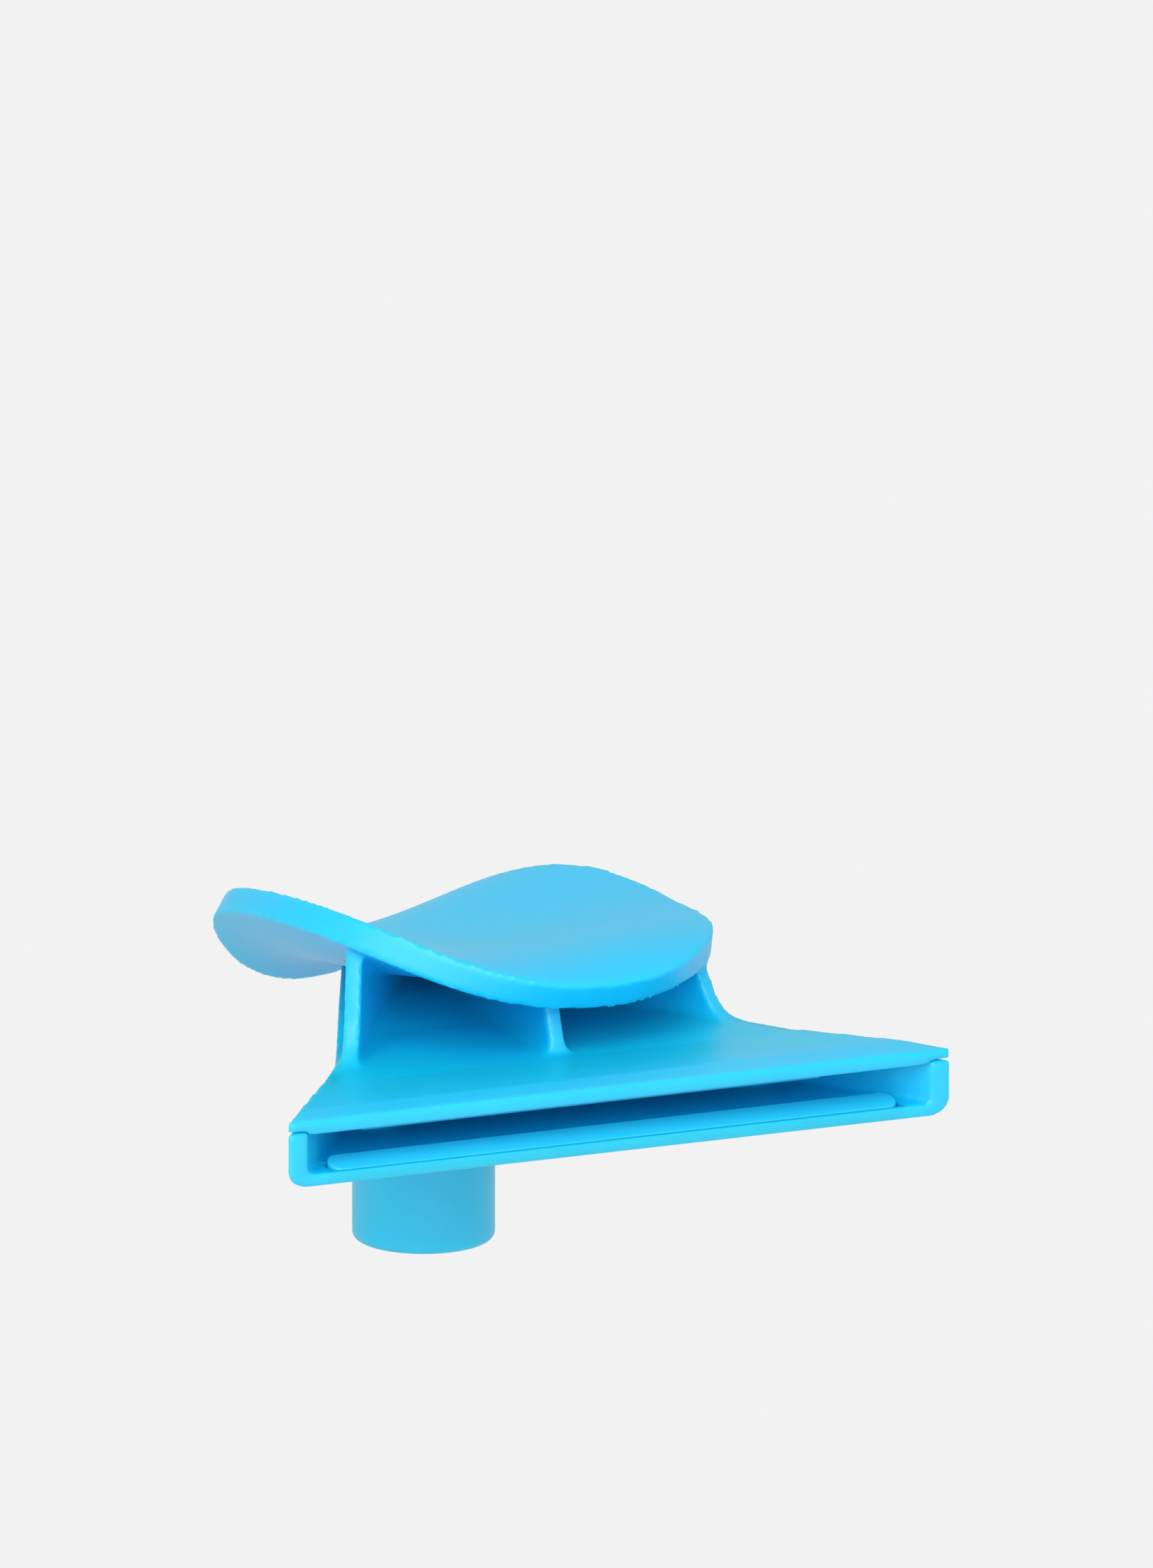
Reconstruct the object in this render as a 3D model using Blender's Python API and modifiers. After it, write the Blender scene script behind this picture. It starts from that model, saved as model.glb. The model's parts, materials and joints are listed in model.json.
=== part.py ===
"""Squeeze clip for laundry: a saddle-shaped finger rest on a fan-shaped body with a slot mouth.

Pushing the button up towards the finger rest rocks a jaw lever inside the body, and the lever's
front bar drops from the roof of the mouth. Lengths are in millimetres until MM turns them into
metres.

Frame: the Z axis is the button's axis, z = 0 is the button's lower face, and the mouth looks
along -Y. In this script a place is given as its side x, its depth behind the mouth and its height
above the underside of the body; place() turns these three into the frame.
"""
import bmesh
import bpy
from math import acos, asin, atan2, cos, hypot, pi, radians, sin
from mathutils import Vector

MM = 0.001
SAME_PLACE = 2e-6                # metres within which two places are one
GAP = 0.3                        # clearance between pieces that touch
RUNNING_GAP = 0.35               # clearance between pieces that slide
WELL_REACH = 1.0                 # how far a cutter passes the face that it opens

# ---- body outline, seen from above: half widths at depths behind the mouth ----
MOUTH_HALF_WIDTH = 38.0
BAND_DEPTH = 3.95                # sloping band behind the mouth's upper edge
BAND_FLARE = 3.7                 # what the band widens towards the mouth, on each side
SHOULDER_DEPTH = 15.4
SHOULDER_HALF_WIDTH = 27.2
WAIST_DEPTH = 22.6               # at the front edges of the neck's outer walls
WAIST_HALF_WIDTH = 23.0
MOUTH_SETBACK = 53.3             # from the mouth back to the button's axis

# ---- body heights and walls ----
FLOOR = 1.4                      # floor of the lower housing
HOUSING_HEIGHT = 5.35
PLATE_THICKNESS = 1.85           # top plate, and its band thins towards the mouth
BAND_RISE = 0.5
SIDE_WALL = 1.6
CORNER_RADIUS = 2.4              # lower corners of the mouth
CORNER_MARGIN = 0.2
PLATE_ROUNDING = 0.35

# ---- button and the guide tube that it slides in ----
BUTTON_RADIUS = 7.6
BUTTON_DROP = 23.0               # its lower face below the body
BUTTON_WALL = 1.3
BUTTON_ROUNDING = 0.8
BUTTON_TRAVEL = 3.0
SHOULDER_STEP = 2.1              # from the button's side in to its neck, which passes the lever's ring
SPIGOT_STEP = 0.6                # from the neck in to the spigot, which carries the retaining ring
SPIGOT_WALL = 0.65
SPIGOT_LIP = 0.15                # spigot above the retaining ring
RETAINER_HEIGHT = 0.5
TUBE_WALL = 1.05
TUBE_DROP = 7.0                  # guide tube below the body

# ---- return spring, inside the spigot and round a peg ----
SPRING_CLEARANCE = 0.5
SPRING_WIRE = 0.45               # wire radius
SPRING_TURNS = 9
SPRING_STEPS = 12                # points in one turn
PEG_LENGTH = 3.0
POCKET_HEADROOM = 0.3            # above the spigot at the end of the button's travel

# ---- neck ----
NECK_EDGE = 1.6                  # outer walls, in from the waist
NECK_APEX_BEHIND = 4.7           # where the three walls meet, behind the button's axis
NECK_CROSSING = 0.6              # what each wall runs past the place where they meet
NECK_LEAN_IN = 1.4               # what the front edges lean on their way up
NECK_LEAN_BACK = 2.5
RIB_DEPTH = 16.2                 # front edge of the middle wall
NECK_WALL = 1.8

# ---- finger rest ----
WING_SIDE = 0.5                  # its centre, aside of the button's axis and in front of it
WING_FORWARD = 9.3
WING_HALF_WIDTH = 24.2
WING_HALF_LENGTH = 26.6
WING_SQUARENESS = 2.4            # 2 is an ellipse
WING_NARROWING = 0.078           # share by which its outline draws in at the back and swells in front
WING_SHOULDERS = 0.025           # share by which it swells beside the back
WING_TURN = 1.2                  # degrees about the vertical
WING_HEIGHT = 12.8               # its upper face at the centre
WING_THICKNESS = 3.2
WING_RINGS = 6
WING_SECTORS = 48
SADDLE_REACH = 20.0              # each height below is what a term adds at this distance from the centre
SADDLE_TERMS = {                 # (power across, power back): height
    (1, 0): 1.1, (0, 1): -2.3,   # leans up to the right and down to the back
    (2, 0): 2.4, (0, 2): 1.5,    # hollow both ways
    (1, 1): 1.2, (1, 3): 1.2,    # twisted: up at the back right and at the front left
    (3, 0): -2.6, (0, 3): -0.9,
    (1, 2): 0.9, (2, 2): -0.4,
    (4, 0): 0.4, (0, 4): -1.6,   # flatter towards the back and the front
}

# ---- pivot of the jaw lever ----
PIVOT_BEHIND_WAIST = 0.9
PIN_RADIUS = 0.75
BUSH_WALL = 0.6
BUSH_LENGTH = 2.5
BUSH_BLOCK = 4.4                 # housing block that holds a bush, across
BUSH_SEAT_WALL = 1.3             # and in front of and behind the bush
BLOCK_HEADROOM = 0.1

# ---- jaw lever ----
LEVER_THICKNESS = 1.0
BARREL_WALL = 0.5
RING_CLEARANCE = 0.1             # more than a gap, because the ring tilts round the neck
RING_PLAY = 0.5                  # from the ring to the bore of the hub
RIB_HEIGHT = 0.25                # rocking ribs on the ring's faces
RIB_HALF_WIDTH = 0.5
ARM_INSET = 1.05                 # arm's side, in from the ring
ARM_TAPER = 8.0                  # from the pivot back to where the arm is narrow
BAR_FRONT = 7.8
BAR_BACK = 11.4
BAR_PLAY = 1.35                  # from the bar's end to the housing wall
BAR_BELOW = 1.05                 # bar's lower and upper faces from the pivot plane
BAR_ABOVE = 0.15
WEB_INSET = 3.0                  # web's front corner, in from the bar's end
WEB_OVERLAP = 0.5
WEB_RUN = 3.5                    # from the bar back to where the web has narrowed
JAW_GAP = 0.4                    # between the two pads when the button is at rest

# ---- gripping pads ----
PAD_THICKNESS = 0.7
PAD_PROUD = 0.4                  # what a pad stands out of its groove
PAD_EDGE = 0.7                   # bar in front of and behind its pad
PAD_END = 1.4                    # bar past each end of its pad

# ---- strip in the floor of the mouth ----
STRIP_FRONT = 0.8
STRIP_BACK = 3.6
STRIP_THICKNESS = 0.6

# ---- body screws ----
FRONT_SCREW_AHEAD = 6.9          # in front of the pivot
SHANK_RADIUS = 0.85
HEAD_RADIUS = 1.75
HEAD_HEIGHT = 1.0
HEAD_SOCKET = 0.75               # hexagon socket, across its corners, as a radius
FOOT_POST = 2.9                  # housing post round a screw
ROOF_POST = 2.0                  # roof post that takes the thread
POST_OVERLAP = 0.6               # what the roof post sinks into the plate
THREAD_DEPTH = 1.3               # how far the thread's hole enters the plate
TIP_CLEARANCE = 1.0

# ---- worked out from the values above: body ----
BAND_HALF_WIDTH = MOUTH_HALF_WIDTH - BAND_FLARE
ROOF = HOUSING_HEIGHT + GAP
PLATE_TOP = ROOF + PLATE_THICKNESS
HUB_BORE = BUTTON_RADIUS + RUNNING_GAP
HUB_RADIUS = HUB_BORE + TUBE_WALL
SIDE_SLANT = hypot(MOUTH_HALF_WIDTH - WAIST_HALF_WIDTH, WAIST_DEPTH) / WAIST_DEPTH
WALL_ACROSS = SIDE_WALL * SIDE_SLANT     # the slanting side wall, measured across
NECK_HALF_SPAN = WAIST_HALF_WIDTH - NECK_EDGE
NECK_APEX_DEPTH = MOUTH_SETBACK + NECK_APEX_BEHIND
WING_DEPTH = MOUTH_SETBACK - WING_FORWARD

def body_side(inset=0.0, hub=HUB_RADIUS):
    """Right side of the fan as (side, depth) points, and the angle at which it meets the hub."""
    fan = [(MOUTH_HALF_WIDTH, 0.0), (BAND_HALF_WIDTH, BAND_DEPTH),
           (SHOULDER_HALF_WIDTH, SHOULDER_DEPTH), (WAIST_HALF_WIDTH, WAIST_DEPTH)]
    side = [(x - inset, depth) for x, depth in fan]
    x, behind = side[-1][0], side[-1][1] - MOUTH_SETBACK
    return side, atan2(behind, x) + acos(hub / hypot(x, behind))


def half_width(depth):
    """Half width of the fan at a depth between the mouth and the hub."""
    side, angle = body_side()
    side.append((HUB_RADIUS * cos(angle), MOUTH_SETBACK + HUB_RADIUS * sin(angle)))
    for (x_front, front), (x_back, back) in zip(side, side[1:]):
        if depth <= back:
            return x_front + (x_back - x_front) * (depth - front) / (back - front)
    return HUB_RADIUS


# ---- lever ----
PIVOT_DEPTH = WAIST_DEPTH + PIVOT_BEHIND_WAIST
PIVOT_HEIGHT = (FLOOR + ROOF) / 2
BUSH_RADIUS = PIN_RADIUS + GAP + BUSH_WALL
BARREL_RADIUS = PIN_RADIUS + GAP + BARREL_WALL
BUSH_SEAT = BUSH_RADIUS + GAP
BLOCK_HALF_DEPTH = BUSH_SEAT + BUSH_SEAT_WALL
BLOCK_OUTER = half_width(PIVOT_DEPTH + BLOCK_HALF_DEPTH) - WALL_ACROSS / 2
BLOCK_INNER = BLOCK_OUTER - BUSH_BLOCK
LEVER_HALF_WIDTH = BLOCK_INNER - 2 * GAP
PIN_HALF_LENGTH = LEVER_HALF_WIDTH + BUSH_LENGTH + 2 * GAP
ARM = MOUTH_SETBACK - PIVOT_DEPTH
BAR_HALF_WIDTH = half_width(BAR_BACK) - WALL_ACROSS - BAR_PLAY
PAD_HALF_WIDTH = BAR_HALF_WIDTH - PAD_END
PAD_FRONT = BAR_FRONT + PAD_EDGE
PAD_BACK = BAR_BACK - PAD_EDGE
PAD_GROOVE = PAD_THICKNESS - PAD_PROUD + GAP
BAR_RISE = ROOF - JAW_GAP - 2 * PAD_PROUD - PIVOT_HEIGHT - BAR_ABOVE
TILT = asin(BAR_RISE / (PIVOT_DEPTH - (BAR_FRONT + BAR_BACK) / 2))     # front bar raised at rest
RING_OUTER = HUB_BORE - RING_PLAY
RING_HEIGHT = PIVOT_HEIGHT - ARM * sin(TILT)
RING_HALF = LEVER_THICKNESS / 2 + RIB_HEIGHT
ARM_HALF_WIDTH = RING_OUTER - ARM_INSET

# ---- button ----
NECK_RADIUS = BUTTON_RADIUS - SHOULDER_STEP
SPIGOT_RADIUS = NECK_RADIUS - SPIGOT_STEP
NECK_BORE = SPIGOT_RADIUS - SPIGOT_WALL
RING_INNER = NECK_RADIUS + GAP + RING_CLEARANCE
RETAINER_RADIUS = (RING_INNER + RING_OUTER) / 2
SHOULDER_HEIGHT = RING_HEIGHT - RING_HALF - GAP
RETAINER_FOOT = RING_HEIGHT + RING_HALF + GAP
SPIGOT_FOOT = RETAINER_FOOT - GAP
BUTTON_TOP = RETAINER_FOOT + RETAINER_HEIGHT + SPIGOT_LIP
POCKET_TOP = max(ROOF, BUTTON_TOP + BUTTON_TRAVEL + POCKET_HEADROOM)     # recess in the roof above the button
SPRING_RADIUS = NECK_BORE - SPRING_CLEARANCE - SPRING_WIRE     # to the middle of the wire
PEG_RADIUS = SPRING_RADIUS - SPRING_WIRE - SPRING_CLEARANCE

# ---- screws ----
FOOT_POST_TOP = PIVOT_HEIGHT - BLOCK_HEADROOM
SCREW_DEPTHS = {"front": PIVOT_DEPTH - FRONT_SCREW_AHEAD, "rear": PIVOT_DEPTH + ARM / 2}

CYAN = (0.05, 0.60, 0.85)
NATURAL = (0.86, 0.86, 0.82)
STEEL = (0.60, 0.61, 0.63)
PAD_BLUE = (0.02, 0.22, 0.42)


def new_collection(name):
    made = bpy.data.collections.new(name)
    bpy.context.scene.collection.children.link(made)
    return made


def new_material(name, colour, roughness, metallic=0.0):
    made = bpy.data.materials.new(name)
    made.use_nodes = True
    shader = made.node_tree.nodes["Principled BSDF"]
    shader.inputs["Base Color"].default_value = (*colour, 1.0)
    shader.inputs["Roughness"].default_value = roughness
    shader.inputs["Metallic"].default_value = metallic
    return made


def place(x, depth, height):
    return Vector((x, depth - MOUTH_SETBACK, height + BUTTON_DROP)) * MM


def adopt(obj, name, target):
    """Name an object and keep it in the parts or, as a hidden wire, in the cutters."""
    obj.name = name
    obj.data.name = name
    for old in list(obj.users_collection):
        old.objects.unlink(obj)
    target.objects.link(obj)
    if target is cutters:
        obj.hide_render = True
        obj.display_type = 'WIRE'
    return obj


def from_bmesh(shape, name, target):
    mesh = bpy.data.meshes.new(name)
    shape.to_mesh(mesh)
    shape.free()
    obj = bpy.data.objects.new(name, mesh)
    bpy.context.scene.collection.objects.link(obj)
    return adopt(obj, name, target)


def cylinder(name, target, radius, start, length, axis='Z', vertices=40):
    """A cylinder from start = (x, depth, height) along +X or +Z."""
    along = Vector((0, 0, 1)) if axis == 'Z' else Vector((1, 0, 0))
    turn = (0, 0, 0) if axis == 'Z' else (0, pi / 2, 0)
    bpy.ops.mesh.primitive_cylinder_add(
        vertices=vertices, radius=radius * MM, depth=length * MM,
        location=place(*start) + along * length * MM / 2, rotation=turn)
    return adopt(bpy.context.object, name, target)


def block(name, target, side, depth, height):
    """A box between pairs of sides, depths and heights."""
    low = place(side[0], depth[0], height[0])
    high = place(side[1], depth[1], height[1])
    bpy.ops.mesh.primitive_cube_add(size=1, location=(low + high) / 2)
    obj = bpy.context.object
    obj.scale = high - low
    bpy.ops.object.transform_apply(location=False, rotation=False, scale=True)
    return adopt(obj, name, target)


def plate(name, target, outline, height):
    """A flat outline of (side, depth) points, raised between two heights."""
    curve = bpy.data.curves.new(name, 'CURVE')
    curve.dimensions = '2D'
    curve.fill_mode = 'BOTH'
    curve.extrude = (height[1] - height[0]) * MM / 2
    spline = curve.splines.new('POLY')
    spline.points.add(len(outline) - 1)
    for point, (x, depth) in zip(spline.points, outline):
        point.co = (x * MM, depth * MM, 0, 1)
    spline.use_cyclic_u = True
    guide = bpy.data.objects.new(name + "_outline", curve)
    guide.location = place(0, 0, sum(height) / 2)
    bpy.context.scene.collection.objects.link(guide)
    return as_mesh(guide, name, target)


def as_mesh(guide, name, target):
    """A curve object as a welded mesh object in the same place."""
    bpy.context.view_layer.update()
    depsgraph = bpy.context.evaluated_depsgraph_get()
    mesh = bpy.data.meshes.new_from_object(guide.evaluated_get(depsgraph))
    shape = bmesh.new()
    shape.from_mesh(mesh)
    bmesh.ops.remove_doubles(shape, verts=shape.verts, dist=1e-6)
    bmesh.ops.recalc_face_normals(shape, faces=shape.faces)
    obj = from_bmesh(shape, name, target)
    obj.matrix_world = guide.matrix_world
    bpy.data.objects.remove(guide)
    return obj


def turned(name, target, profile, steps=48):
    """A profile of (radius, height) points turned about the button's axis."""
    mesh = bpy.data.meshes.new(name)
    vertices = [(radius * MM, 0, height * MM) for radius, height in profile]
    mesh.from_pydata(vertices, [(i, i + 1) for i in range(len(vertices) - 1)], [])
    obj = bpy.data.objects.new(name, mesh)
    obj.location = place(0, MOUTH_SETBACK, 0)
    bpy.context.scene.collection.objects.link(obj)
    screw = obj.modifiers.new("turn", 'SCREW')
    screw.steps = steps
    screw.render_steps = steps
    screw.use_merge_vertices = True
    screw.merge_threshold = 1e-6
    return adopt(obj, name, target)


def boolean(obj, other, operation):
    step = obj.modifiers.new(other.name, 'BOOLEAN')
    step.operation = operation
    step.solver = 'EXACT'
    step.object = other


def cut(obj, *others):
    for other in others:
        boolean(obj, other, 'DIFFERENCE')


def join(obj, *others):
    for other in others:
        boolean(obj, other, 'UNION')


def finish(obj, look):
    """Give a piece its material and smooth round faces."""
    obj.data.materials.clear()
    obj.data.materials.append(look)
    obj.data.shade_smooth()
    obj.data.set_sharp_from_angle(angle=radians(35))
    return obj


def round_edges(obj, width, segments=2):
    step = obj.modifiers.new("rounding", 'BEVEL')
    step.width = width * MM
    step.segments = segments
    step.limit_method = 'ANGLE'
    step.angle_limit = radians(50)


def body_outline(inset=0.0, hub=HUB_RADIUS, open_front=0.0, steps=10):
    """The fan outline, set in by a wall and run past the mouth where it is to cut that open."""
    right, start = body_side(inset, hub)
    if open_front:
        right.insert(0, (right[0][0], -open_front))
    for step in range(steps):
        angle = start + (pi / 2 - start) * step / steps
        right.append((hub * cos(angle), MOUTH_SETBACK + hub * sin(angle)))
    left = [(-x, depth) for x, depth in reversed(right)]
    return right + [(0.0, MOUTH_SETBACK + hub)] + left


def screw_spots():
    """Name, side and depth of each body screw; its post touches the housing's side wall."""
    for row, depth in SCREW_DEPTHS.items():
        x = half_width(depth) - WALL_ACROSS - FOOT_POST
        yield row + "_left", -x, depth
        yield row + "_right", x, depth


def wing_height(x, depth):
    """Height of the finger rest's upper face above the body's underside."""
    turn = radians(WING_TURN)
    aside, back = x - WING_SIDE, depth - WING_DEPTH
    p = (aside * cos(turn) + back * sin(turn)) / SADDLE_REACH
    q = (back * cos(turn) - aside * sin(turn)) / SADDLE_REACH
    rise = sum(height * p ** across * q ** along for (across, along), height in SADDLE_TERMS.items())
    return WING_HEIGHT + rise


def wing_reach(angle):
    """Distance of the finger rest's edge from its centre, at an angle from its right side."""
    across, along = abs(cos(angle)) / WING_HALF_WIDTH, abs(sin(angle)) / WING_HALF_LENGTH
    even = (across ** WING_SQUARENESS + along ** WING_SQUARENESS) ** (-1 / WING_SQUARENESS)
    return even * (1 - WING_NARROWING * sin(angle) + WING_SHOULDERS * sin(3 * angle))


def make_wing(target):
    """An open disc of rings and sectors, drawn out to the oval, lifted to the saddle and thickened downwards."""
    turn = radians(WING_TURN)
    shape = bmesh.new()
    spoke = [shape.verts.new((ring / WING_RINGS, 0, 0)) for ring in range(WING_RINGS + 1)]
    edges = [shape.edges.new(pair) for pair in zip(spoke, spoke[1:])]
    bmesh.ops.spin(shape, geom=spoke + edges, cent=(0, 0, 0), axis=(0, 0, 1), dvec=(0, 0, 0),
                   angle=2 * pi, steps=WING_SECTORS, use_merge=True)
    bmesh.ops.remove_doubles(shape, verts=shape.verts, dist=1e-4)
    bmesh.ops.recalc_face_normals(shape, faces=shape.faces)
    for vert in shape.verts:
        reach = wing_reach(atan2(vert.co.y, vert.co.x))
        across, back = vert.co.x * reach, vert.co.y * reach
        x = WING_SIDE + across * cos(turn) - back * sin(turn)
        depth = WING_DEPTH + across * sin(turn) + back * cos(turn)
        vert.co = place(x, depth, wing_height(x, depth))
    shape.normal_update()
    if sum(face.normal.z for face in shape.faces) < 0:
        bmesh.ops.reverse_faces(shape, faces=shape.faces)
    wing = from_bmesh(shape, "wing_form", target)
    thickness = wing.modifiers.new("thickness", 'SOLIDIFY')
    thickness.thickness = WING_THICKNESS * MM
    thickness.offset = -1
    return wing


def make_neck_wall(name, target, half_span, front):
    """A wall from a front edge at (half_span, front) back to the neck's apex, and a little past it."""
    side = (half_span > 0) - (half_span < 0)
    end_side = -side * NECK_CROSSING
    end_depth = NECK_APEX_DEPTH + (0 if side else NECK_CROSSING)
    lean_back = NECK_LEAN_BACK if side else NECK_LEAN_BACK / 2
    shape = bmesh.new()
    bmesh.ops.create_grid(shape, x_segments=12, y_segments=3, size=0.5)
    for vert in shape.verts:
        run, up = vert.co.x + 0.5, vert.co.y + 0.5
        x = (half_span - side * NECK_LEAN_IN * up) * (1 - run) + end_side * run
        start = front + lean_back * up
        depth = start + (end_depth - start) * run
        foot = PLATE_TOP - PLATE_THICKNESS / 2
        top = wing_height(x, depth) - WING_THICKNESS / 2
        vert.co = place(x, depth, foot + (top - foot) * up)
    wall = from_bmesh(shape, name, target)
    thickness = wall.modifiers.new("thickness", 'SOLIDIFY')
    thickness.thickness = NECK_WALL * MM
    thickness.offset = 0
    return wall


def slope_band(plate_form):
    """Crease the plate's upper face behind the mouth and lower its front edge."""
    shape = bmesh.new()
    shape.from_mesh(plate_form.data)
    top = max(vert.co.z for vert in shape.verts)
    lid = [face for face in shape.faces if all(top - vert.co.z < SAME_PLACE for vert in face.verts)]
    bmesh.ops.dissolve_faces(shape, faces=lid)
    rim = [vert for vert in shape.verts if top - vert.co.z < SAME_PLACE]
    bmesh.ops.connect_verts(shape, verts=[v for v in rim if abs(v.co.y - BAND_DEPTH * MM) < SAME_PLACE])
    for vert in rim:
        if abs(vert.co.y) < SAME_PLACE:
            vert.co.z -= BAND_RISE * MM
    shape.to_mesh(plate_form.data)
    shape.free()


def make_upper_body():
    body = plate("upper_body", parts, body_outline(), (ROOF, PLATE_TOP))
    slope_band(body)
    round_edges(body, PLATE_ROUNDING)
    join(body, make_neck_wall("left_wall", cutters, -NECK_HALF_SPAN, WAIST_DEPTH),
         make_neck_wall("right_wall", cutters, NECK_HALF_SPAN, WAIST_DEPTH),
         make_neck_wall("middle_wall", cutters, 0.0, RIB_DEPTH),
         make_wing(cutters))
    cut(body, cylinder("roof_pocket", cutters, HUB_BORE, (0, MOUTH_SETBACK, ROOF - WELL_REACH),
                       POCKET_TOP - ROOF + WELL_REACH))
    peg_foot = POCKET_TOP - PEG_LENGTH
    join(body, cylinder("spring_peg", cutters, PEG_RADIUS, (0, MOUTH_SETBACK, peg_foot),
                        (POCKET_TOP + PLATE_TOP) / 2 - peg_foot, vertices=24))
    post_foot = FOOT_POST_TOP + GAP
    hole_foot = post_foot - WELL_REACH
    for spot, x, depth in screw_spots():
        join(body, cylinder("roof_post_" + spot, cutters, ROOF_POST, (x, depth, post_foot),
                            ROOF + POST_OVERLAP - post_foot, vertices=24))
        cut(body, cylinder("thread_hole_" + spot, cutters, SHANK_RADIUS + GAP, (x, depth, hole_foot),
                           ROOF + THREAD_DEPTH - hole_foot, vertices=16))
    cut(body, block("roof_pad_groove", cutters, (-PAD_HALF_WIDTH - GAP, PAD_HALF_WIDTH + GAP),
                    (PAD_FRONT - GAP, PAD_BACK + GAP), (ROOF - WELL_REACH, ROOF + PAD_GROOVE)))
    weld = body.modifiers.new("weld", 'WELD')
    weld.merge_threshold = SAME_PLACE
    return finish(body, moulded)


def make_lower_housing():
    housing = plate("lower_housing", parts, body_outline(), (0, HOUSING_HEIGHT))
    profile_half = MOUTH_HALF_WIDTH + CORNER_MARGIN
    corners = block("mouth_profile", cutters, (-profile_half, profile_half),
                    (-WELL_REACH, MOUTH_SETBACK + HUB_RADIUS + WELL_REACH),
                    (0, HOUSING_HEIGHT + CORNER_RADIUS))
    round_long_edges(corners, CORNER_RADIUS)
    boolean(housing, corners, 'INTERSECT')
    cut(housing, plate("cavity", cutters, body_outline(WALL_ACROSS, RING_OUTER, WELL_REACH),
                       (FLOOR, HOUSING_HEIGHT + WELL_REACH)))
    join(housing, cylinder("guide_tube", cutters, HUB_RADIUS, (0, MOUTH_SETBACK, -TUBE_DROP),
                           TUBE_DROP + FLOOR / 2, vertices=48))
    for side in (-1, 1):
        join(housing, block("bush_block", cutters, sorted((side * BLOCK_INNER, side * BLOCK_OUTER)),
                            (PIVOT_DEPTH - BLOCK_HALF_DEPTH, PIVOT_DEPTH + BLOCK_HALF_DEPTH),
                            (FLOOR / 2, HOUSING_HEIGHT - BLOCK_HEADROOM)))
        reach = sorted((side * (BLOCK_INNER - WELL_REACH), side * (PIN_HALF_LENGTH + GAP)))
        cut(housing, cylinder("bush_seat", cutters, BUSH_SEAT, (reach[0], PIVOT_DEPTH, PIVOT_HEIGHT),
                              reach[1] - reach[0], axis='X', vertices=24))
        cut(housing, block("bush_slot", cutters, reach, (PIVOT_DEPTH - BUSH_SEAT, PIVOT_DEPTH + BUSH_SEAT),
                           (PIVOT_HEIGHT, HOUSING_HEIGHT + WELL_REACH)))
    for spot, x, depth in screw_spots():
        join(housing, cylinder("foot_post_" + spot, cutters, FOOT_POST, (x, depth, FLOOR / 2),
                               FOOT_POST_TOP - FLOOR / 2, vertices=24))
        cut(housing, cylinder("counterbore_" + spot, cutters, HEAD_RADIUS + GAP, (x, depth, -WELL_REACH),
                              WELL_REACH + 2 * GAP + HEAD_HEIGHT, vertices=24))
        cut(housing, cylinder("shank_hole_" + spot, cutters, SHANK_RADIUS + GAP, (x, depth, -WELL_REACH),
                              FOOT_POST_TOP + 2 * WELL_REACH, vertices=16))
    cut(housing, cylinder("hub_bore", cutters, HUB_BORE, (0, MOUTH_SETBACK, -TUBE_DROP - WELL_REACH),
                          TUBE_DROP + HOUSING_HEIGHT + 2 * WELL_REACH, vertices=48))
    cut(housing, strip("strip_recess", cutters, GAP, (FLOOR - STRIP_THICKNESS - GAP, FLOOR + WELL_REACH)))
    return finish(housing, moulded)


def round_long_edges(obj, radius, steps=6):
    """Round the two lower edges of a box that run along Y."""
    shape = bmesh.new()
    shape.from_mesh(obj.data)
    low = min(vert.co.z for vert in shape.verts)
    edges = [edge for edge in shape.edges
             if all(abs(vert.co.z - low) < 1e-6 for vert in edge.verts)
             and abs(edge.verts[0].co.x - edge.verts[1].co.x) < 1e-6]
    bmesh.ops.bevel(shape, geom=edges, offset=radius * MM, segments=steps, profile=0.5,
                    affect='EDGES', material=-1)
    shape.to_mesh(obj.data)
    shape.free()


def strip(name, target, grow, height, steps=8):
    """The floor strip's outline with its round ends, grown by a clearance."""
    middle = (STRIP_FRONT + STRIP_BACK) / 2
    radius = (STRIP_BACK - STRIP_FRONT) / 2
    end = half_width(STRIP_BACK) - WALL_ACROSS - radius
    right = []
    for step in range(steps + 1):
        angle = -pi / 2 + pi * step / steps
        right.append((end + (radius + grow) * cos(angle), middle + (radius + grow) * sin(angle)))
    left = [(-x, depth) for x, depth in reversed(right)]
    return plate(name, target, right + left, height)


def make_mouth_floor_strip():
    return finish(strip("mouth_floor_strip", parts, 0.0, (FLOOR - STRIP_THICKNESS, FLOOR)), moulded)


def make_push_button(steps=4):
    base = -BUTTON_DROP
    edge = [(BUTTON_RADIUS - BUTTON_ROUNDING * (1 - sin(angle)), base + BUTTON_ROUNDING * (1 - cos(angle)))
            for angle in (step * pi / (2 * steps) for step in range(steps + 1))]
    inside = BUTTON_RADIUS - BUTTON_WALL
    crown = SHOULDER_HEIGHT - BUTTON_WALL
    profile = [(0.0, base)] + edge + [
        (BUTTON_RADIUS, SHOULDER_HEIGHT), (NECK_RADIUS, SHOULDER_HEIGHT), (NECK_RADIUS, SPIGOT_FOOT),
        (SPIGOT_RADIUS, SPIGOT_FOOT), (SPIGOT_RADIUS, BUTTON_TOP), (NECK_BORE, BUTTON_TOP),
        (NECK_BORE, crown), (inside, crown), (inside, base + BUTTON_WALL), (0.0, base + BUTTON_WALL)]
    return finish(turned("push_button", parts, list(reversed(profile))), moulded)


def make_retaining_ring():
    low, high = RETAINER_FOOT, RETAINER_FOOT + RETAINER_HEIGHT
    inner = SPIGOT_RADIUS + GAP
    profile = [(RETAINER_RADIUS, high), (RETAINER_RADIUS, low), (inner, low), (inner, high),
               (RETAINER_RADIUS, high)]
    return finish(turned("retaining_ring", parts, profile), steel)


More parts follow.
